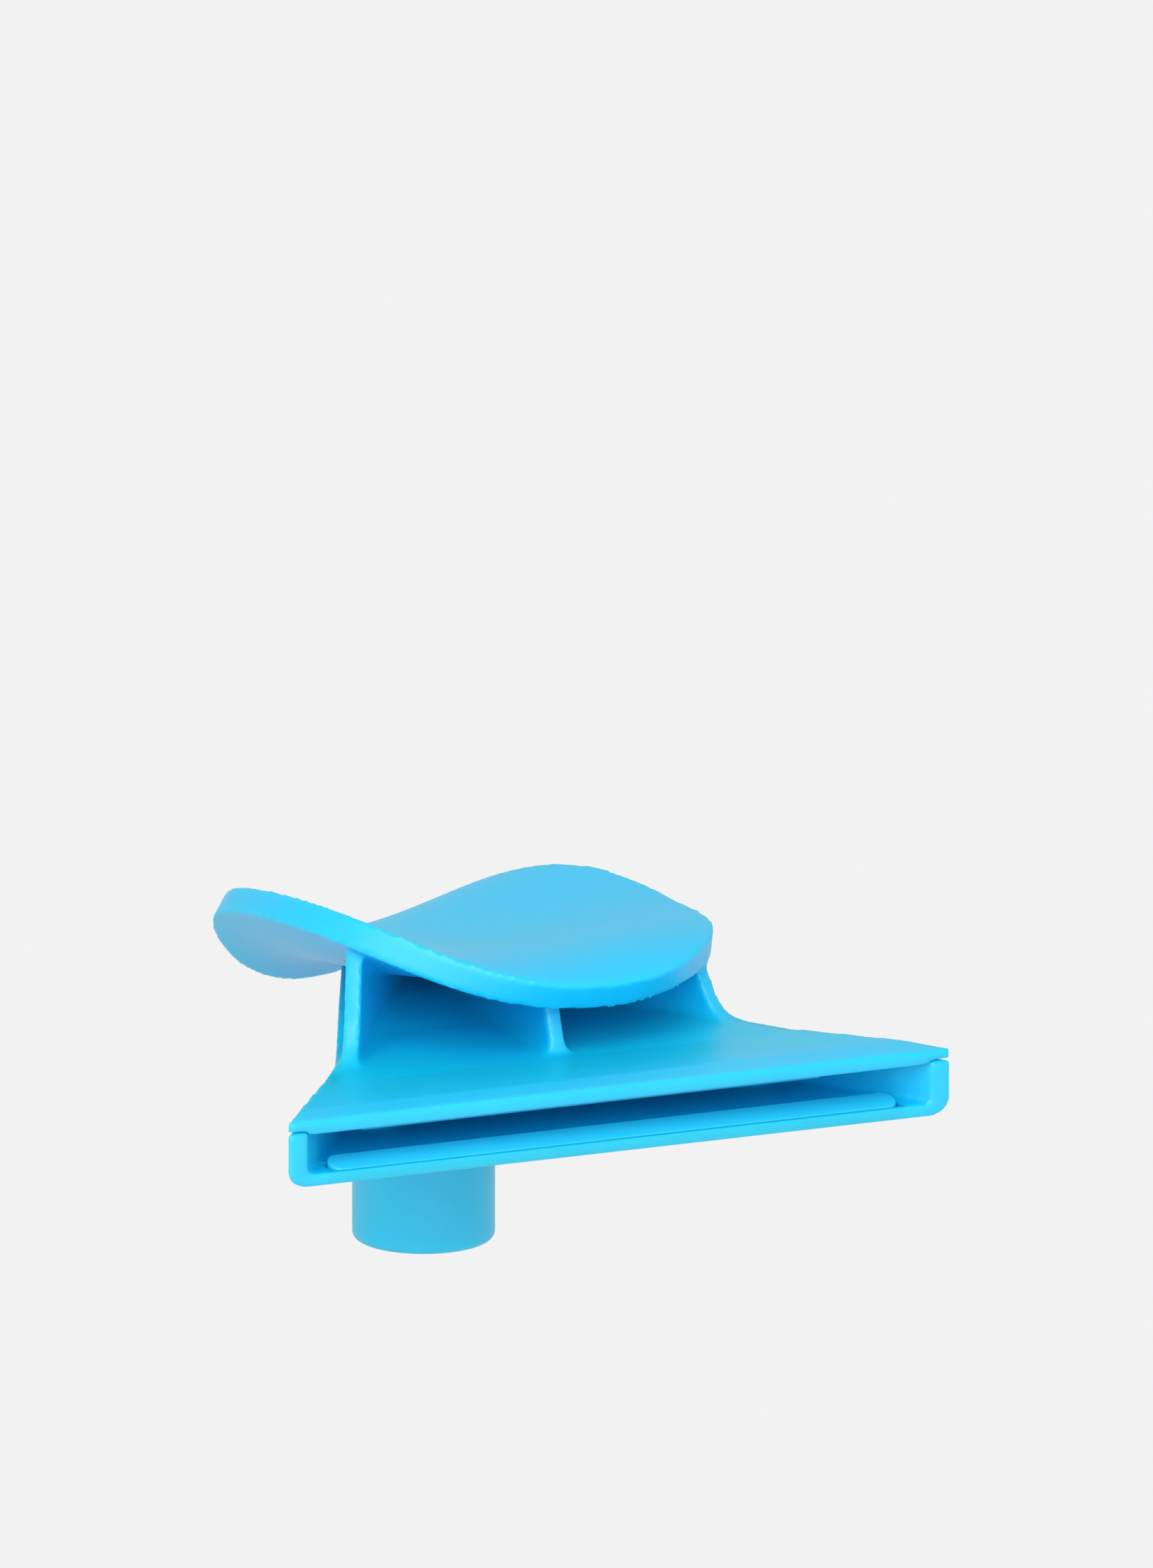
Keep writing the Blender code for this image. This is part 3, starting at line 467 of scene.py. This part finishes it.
def mouth_profile(steps=8):
    """A bar along the body with the mouth's rounded lower corners."""
    shape = bmesh.new()
    half, back = MOUTH_HALF_WIDTH + GROWN, MOUTH_SETBACK + HUB_RADIUS + PAST
    top = HOUSING_HEIGHT + PAST
    low_right = [(half - CORNER_RADIUS + CORNER_RADIUS * sin(turn), CORNER_RADIUS * (1 - cos(turn)))
                 for turn in (pi / 2 * step / steps for step in range(steps + 1))]
    right = low_right + [(half, top)]
    left = [(-x, height) for x, height in reversed(right)]
    face = shape.faces.new([shape.verts.new(place(x, -PAST, height)) for x, height in right + left])
    made = bmesh.ops.extrude_face_region(shape, geom=[face])["geom"]
    verts = [part for part in made if isinstance(part, bmesh.types.BMVert)]
    bmesh.ops.translate(shape, verts=verts, vec=(0, (back + PAST) * MM, 0))
    bmesh.ops.recalc_face_normals(shape, faces=shape.faces)
    return piece(shape, "mouth_profile")


def make_lower_housing(material):
    """The open tray of the body with its guide tube, bush seats and screw posts."""
    rim = ROOF + RIM_RISE - SEAM
    base = fan_solid("base_form", [0, rim], -GROWN)
    carve(base, mouth_profile(), 'INTERSECT')
    carve(base, fan_solid("cavity", [FLOOR, rim + PAST], WALL_ACROSS, HUB_BORE - RING_PLAY, PAST))
    bushes = [node_span("pivot_bush_left"), node_span("pivot_bush_right")]
    forms = [base, rod(HUB_RADIUS, (0, MOUTH_SETBACK, -TUBE_DROP), TUBE_DROP + FLOOR / 2, "tube_form", 64)]
    seats, slots = [], []
    for low, high in bushes:
        outer = 1 if high[0] > 0 else 0
        ends = [low[0], high[0]]
        ends[outer] += (2 * outer - 1) * SEAT_WALL
        forms.append(solid_box((ends[0], low[1] - GAP - SEAT_WALL, FLOOR / 2),
                               (ends[1], high[1] + GAP + SEAT_WALL, HOUSING_HEIGHT), "bush_block"))
        reach = [low[0] - GAP, high[0] + GAP]
        reach[1 - outer] -= (2 * outer - 1) * PAST
        depth, height = (low[1] + high[1]) / 2, (low[2] + high[2]) / 2
        seats.append(cross_rod((high[2] - low[2]) / 2 + GAP, *reach, depth, height, "bush_seat"))
        slots.append(solid_box((reach[0], low[1] - GAP, height),
                               (reach[1], high[1] + GAP, HOUSING_HEIGHT + PAST), "bush_slot"))
    forms += [rod(FOOT_POST, (x, depth, FLOOR / 2), POST_GAP_HEIGHT - FLOOR / 2, "foot_post")
              for x, depth in screw_spots]
    lower = gather("lower_shell", forms)
    mould(lower, LOWER_GRAIN, LOWER_PASSES)
    head_room = 2 * GAP + SCREW_HEAD_HEIGHT
    strip_low, strip_high = node_span("mouth_floor_strip")
    carve(lower, gather("wide_cuts", [
        rod(HUB_BORE, (0, MOUTH_SETBACK, -TUBE_DROP - PAST), TUBE_DROP + rim + 2 * PAST, "bore", 96),
        solid_box([low - GAP for low in strip_low],
                  (strip_high[0] + GAP, strip_high[1] + GAP, strip_high[2] + PAST), "strip_recess"),
        *seats,
        *(rod(SCREW_HEAD + HEAD_CLEARANCE, (x, depth, -PAST), head_room + PAST, "counterbore")
          for x, depth in screw_spots)]))
    carve(lower, gather("narrow_cuts", slots + [
        rod(SHANK_RADIUS + HEAD_CLEARANCE, (x, depth, -PAST), POST_GAP_HEIGHT + 2 * PAST, "shank_hole")
        for x, depth in screw_spots]))
    shade(lower, material)
    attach(lower, "housing")
    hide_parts("lower_housing")
    return lower


STRIP_RISE = 0.9                 # how much higher the strip's back edge stands than its front edge
STRIP_EDGE = 0.18                # width of its bevelled edges


def make_floor_strip(material, end_steps=12):
    """The strip in the mouth's floor: round ends, and a face that slopes up into the mouth."""
    low, high = node_span("mouth_floor_strip")
    middle, radius = (low[1] + high[1]) / 2, (high[1] - low[1]) / 2
    right = [(high[0] - radius + radius * sin(turn), middle - radius * cos(turn))
             for turn in (pi * step / end_steps for step in range(end_steps + 1))]
    outline = right + [(-x, depth) for x, depth in reversed(right)]
    shape = bmesh.new()
    face = shape.faces.new([shape.verts.new(place(x, depth, low[2])) for x, depth in outline])
    made = bmesh.ops.extrude_face_region(shape, geom=[face])["geom"]
    for vert in (part for part in made if isinstance(part, bmesh.types.BMVert)):
        along = (vert.co.y / MM + MOUTH_SETBACK - low[1]) / (high[1] - low[1])
        vert.co.z += (high[2] - low[2] + STRIP_RISE * along) * MM
    bmesh.ops.recalc_face_normals(shape, faces=shape.faces)
    strip = piece(shape, "strip_shell")
    edge = strip.modifiers.new("edge", 'BEVEL')
    edge.width = STRIP_EDGE * MM
    edge.segments = 3
    edge.angle_limit = radians(40)
    settle(strip)
    shade(strip, material)
    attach(strip, "housing")
    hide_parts("mouth_floor_strip")
    return strip


# ---- button ----
BUTTON_ROUNDING = 0.8
BUTTON_WALL = 1.3
SHOULDER_STEP = 2.1              # from the button's side in to its neck
SPIGOT_STEP = 0.6                # and from the neck in to the spigot
SPIGOT_WALL = 0.65


def make_push_button(material, edge_steps=8):
    """The cup that the thumb pushes, with a rounded face edge and the stepped neck above it."""
    ring_low = node_span("retaining_ring")[0][2]
    lever_low = node_span("jaw_lever")[0][2]
    shoulder, spigot_foot = lever_low - GAP, ring_low - GAP
    neck = BUTTON_RADIUS - SHOULDER_STEP
    spigot = neck - SPIGOT_STEP
    bore, inside, crown = spigot - SPIGOT_WALL, BUTTON_RADIUS - BUTTON_WALL, shoulder - BUTTON_WALL
    edge = [(BUTTON_RADIUS - BUTTON_ROUNDING * (1 - sin(turn)),
             BUTTON_ROUNDING * (1 - cos(turn)) - BUTTON_DROP)
            for turn in (pi / 2 * step / edge_steps for step in range(edge_steps + 1))]
    button = turned([(0.0, -BUTTON_DROP)] + edge + [
        (BUTTON_RADIUS, shoulder), (neck, shoulder), (neck, spigot_foot), (spigot, spigot_foot),
        (spigot, BUTTON_TOP), (bore, BUTTON_TOP), (bore, crown), (inside, crown),
        (inside, BUTTON_WALL - BUTTON_DROP), (0.0, BUTTON_WALL - BUTTON_DROP)], "button_shell")
    shade(button, material)
    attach(button, "button")
    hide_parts("push_button")
    return button


# ---- return spring ----
SPRING_WIRE = 0.45               # wire radius
SPRING_TURNS = 9


def make_return_spring(material, turn_steps=28):
    """A helix from the button's floor to the roof."""
    low, high = node_span("return_spring")
    radius, foot, head = high[0] - SPRING_WIRE, low[2] + SPRING_WIRE, high[2] - SPRING_WIRE
    count = SPRING_TURNS * turn_steps + 1
    path = bpy.data.curves.new("spring_path", 'CURVE')
    path.dimensions = '3D'
    path.bevel_depth = SPRING_WIRE * MM
    path.bevel_resolution = 3
    path.use_fill_caps = True
    line = path.splines.new('POLY')
    line.points.add(count - 1)
    for index, point in enumerate(line.points):
        turn = 2 * pi * index / turn_steps
        height = foot + (head - foot) * index / (count - 1)
        point.co = (*place(radius * cos(turn), MOUTH_SETBACK + radius * sin(turn), height), 1)
    guide = bpy.data.objects.new("spring_path", path)
    bpy.context.scene.collection.objects.link(guide)
    bpy.context.view_layer.update()
    seen = guide.evaluated_get(bpy.context.evaluated_depsgraph_get())
    spring = bpy.data.objects.new("spring_wire", bpy.data.meshes.new_from_object(seen))
    bpy.context.scene.collection.objects.link(spring)
    bpy.data.objects.remove(guide)
    shade(spring, material, 60)
    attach(spring, "housing")
    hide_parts("return_spring")
    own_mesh(spring)
    return spring


# ---------------------------------------------------------------- materials

def linear(hex_colour):
    """An sRGB hex colour as linear RGBA."""
    values = [int(hex_colour[start:start + 2], 16) / 255 for start in (1, 3, 5)]
    return [v / 12.92 if v <= 0.04045 else ((v + 0.055) / 1.055) ** 2.4 for v in values] + [1.0]


def add_node(tree, kind, settings=None, inputs=None):
    """Add a node, give its settings, and set or link its inputs."""
    node = tree.nodes.new(kind)
    for name, value in (settings or {}).items():
        setattr(node, name, value)
    for name, value in (inputs or {}).items():
        if isinstance(value, bpy.types.NodeSocket):
            tree.links.new(value, node.inputs[name])
        else:
            node.inputs[name].default_value = value
    return node


PLASTIC_IOR = 1.49
GLOSS_SPREAD = 0.04              # how far the roughness wanders with the cloud
GRAIN_STRENGTH = 0.1
LIGHT_REACH = 4.0                # how deep light soaks into the plastics
LIGHT_COLOURS = (0.15, 0.75, 1.0)       # shares of that depth for red, green and blue


def surface(name, colours, roughness, cloud_size, grain_size, grain_depth, metallic=0.0, depth_of_light=0.0):
    """A finish with a slow cloud of two colours and a fine grain; sizes in millimetres."""
    made = bpy.data.materials.new(name)
    made.use_nodes = True
    tree = made.node_tree
    shader = tree.nodes["Principled BSDF"]
    where = add_node(tree, "ShaderNodeTexCoord").outputs["Object"]
    cloud = add_node(tree, "ShaderNodeTexNoise", inputs={
        "Vector": where, "Scale": 1 / (cloud_size * MM), "Detail": 2.0})
    tint = add_node(tree, "ShaderNodeMix", {"data_type": 'RGBA'}, {"Factor": cloud.outputs["Fac"]})
    tint.inputs["A"].default_value = linear(colours[0])
    tint.inputs["B"].default_value = linear(colours[1])
    tree.links.new(tint.outputs["Result"], shader.inputs["Base Color"])
    grain = add_node(tree, "ShaderNodeTexNoise", inputs={
        "Vector": where, "Scale": 1 / (grain_size * MM), "Detail": 3.0})
    bump = add_node(tree, "ShaderNodeBump", inputs={
        "Height": grain.outputs["Fac"], "Strength": GRAIN_STRENGTH, "Distance": grain_depth * MM})
    tree.links.new(bump.outputs["Normal"], shader.inputs["Normal"])
    spread = add_node(tree, "ShaderNodeMapRange", inputs={
        "Value": cloud.outputs["Fac"],
        "To Min": roughness - GLOSS_SPREAD, "To Max": roughness + GLOSS_SPREAD})
    tree.links.new(spread.outputs["Result"], shader.inputs["Roughness"])
    shader.inputs["Metallic"].default_value = metallic
    if not metallic:
        shader.inputs["IOR"].default_value = PLASTIC_IOR
    shader.inputs["Subsurface Weight"].default_value = depth_of_light
    shader.inputs["Subsurface Radius"].default_value = LIGHT_COLOURS
    shader.inputs["Subsurface Scale"].default_value = LIGHT_REACH * MM
    return made


# satin cyan shell: light soaks in and lifts its thin edges, with a faint flow cloud and orange peel
polypropylene = surface("moulded_polypropylene", ("#00BBE9", "#04C1EC"), roughness=0.42, cloud_size=11.0,
                        grain_size=0.6, grain_depth=0.05, depth_of_light=0.5)
# the same satin plastic with painted light: a shade lighter, so the strip on the mouth's shaded floor reads
# as lit; the small inner mouldings take it too, and they are too thin to glow
inner_plastic_painted_lit = surface("inner_polypropylene_painted_lit", ("#20C4F0", "#28CAF2"), roughness=0.42, cloud_size=11.0,
                        grain_size=0.6, grain_depth=0.05)
# milky white bearing plastic, waxy and slightly uneven
nylon = surface("natural_nylon", ("#DCDCD0", "#E6E6DC"), roughness=0.5, cloud_size=3.0,
                grain_size=0.4, grain_depth=0.05, depth_of_light=0.2)
# dull blue grip, deeper than the shell, that breaks the light with a fine grain
rubber = surface("soft_rubber", ("#0C8CCC", "#0E94D4"), roughness=0.78, cloud_size=2.0,
                 grain_size=0.12, grain_depth=0.2)
# bright drawn steel with a fine broken sheen
steel = surface("drawn_steel", ("#C6C8CB", "#D0D2D4"), roughness=0.28, cloud_size=1.5,
                grain_size=0.1, grain_depth=0.05, metallic=1.0)

make_upper_body(polypropylene)
make_lower_housing(polypropylene)
make_push_button(polypropylene)
# the strip takes the lighter plastic, which paints light onto its shaded place in the mouth
make_floor_strip(inner_plastic_painted_lit)
make_return_spring(steel)
FINISHES = {
    "jaw_lever": inner_plastic_painted_lit,
    "pivot_bush_left": nylon, "pivot_bush_right": nylon,
    "lever_jaw_pad": rubber, "roof_jaw_pad": rubber,
    "pivot_pin": steel, "retaining_ring": steel,
    "screw_front_left": steel, "screw_front_right": steel,
    "screw_rear_left": steel, "screw_rear_right": steel,
}
for node, finish in FINISHES.items():
    frame["nodes"][node].data.materials.clear()
    frame["nodes"][node].data.materials.append(finish)


# ---------------------------------------------------------------- studio

WHITE_TABLE = "#F2F2F2"
TABLE_HALF = 1.5                 # metres from its middle to its edge
AIR = 0.7                        # light from all round
LAMPS = {                        # name: place in metres, size in metres, power in watts
    "key": ((-0.5, -0.45, 0.7), 0.6, 3.6),
    "front": ((-0.35, -0.83, 0.42), 0.4, 3.0),
    "low": ((-0.1, -0.95, 0.1), 0.3, 1.5),
}


def make_studio():
    """An evenly lit white table, with light from all round, a soft key lamp and a low front lamp."""
    shape = bmesh.new()
    bmesh.ops.create_grid(shape, x_segments=1, y_segments=1, size=TABLE_HALF)
    table = piece(shape, "light_table")
    lit = bpy.data.materials.new("lit_white")
    lit.use_nodes = True
    shader = lit.node_tree.nodes["Principled BSDF"]
    shader.inputs["Base Color"].default_value = (0, 0, 0, 1)
    shader.inputs["Specular IOR Level"].default_value = 0.0
    shader.inputs["Emission Color"].default_value = linear(WHITE_TABLE)
    shader.inputs["Emission Strength"].default_value = 1.0
    table.data.materials.append(lit)
    table.visible_diffuse = False
    world = bpy.data.worlds.new("studio_air")
    world.use_nodes = True
    world.node_tree.nodes["Background"].inputs["Color"].default_value = (1, 1, 1, 1)
    world.node_tree.nodes["Background"].inputs["Strength"].default_value = AIR
    bpy.context.scene.world = world
    for name, (spot, size, power) in LAMPS.items():
        light = bpy.data.lights.new(name, 'AREA')
        light.size = size
        light.energy = power
        lamp = bpy.data.objects.new(name, light)
        lamp.location = spot
        aim = place(0, MOUTH_SETBACK / 2, 0) - lamp.location
        lamp.rotation_euler = aim.to_track_quat('-Z', 'Y').to_euler()
        bpy.context.scene.collection.objects.link(lamp)


VIEW_AZIMUTH = -23.0             # degrees from straight ahead, and above the table
VIEW_ELEVATION = 15.6
VIEW_HEIGHT = 166.6              # what the view spans, top to bottom
VIEW_RIGHT = -4.58               # the view's middle from the mouth's middle, on the body's underside
VIEW_UP = 39.13
CAMERA_AWAY = 1.5                # metres


def make_camera():
    """A camera with parallel rays, so that nothing shrinks with distance."""
    view = bpy.data.cameras.new("camera")
    view.type = 'ORTHO'
    view.ortho_scale = VIEW_HEIGHT * MM
    camera = bpy.data.objects.new("camera", view)
    bpy.context.scene.collection.objects.link(camera)
    azimuth, elevation = radians(VIEW_AZIMUTH), radians(VIEW_ELEVATION)
    back = Vector((sin(azimuth) * cos(elevation), -cos(azimuth) * cos(elevation), sin(elevation)))
    camera.rotation_euler = (-back).to_track_quat('-Z', 'Y').to_euler()
    turn = camera.rotation_euler.to_matrix()
    right, up = turn @ Vector((1, 0, 0)), turn @ Vector((0, 1, 0))
    camera.location = place(0, 0, 0) + back * CAMERA_AWAY + (right * VIEW_RIGHT + up * VIEW_UP) * MM
    bpy.context.scene.camera = camera


make_studio()
make_camera()
bpy.context.scene.view_settings.view_transform = 'Standard'
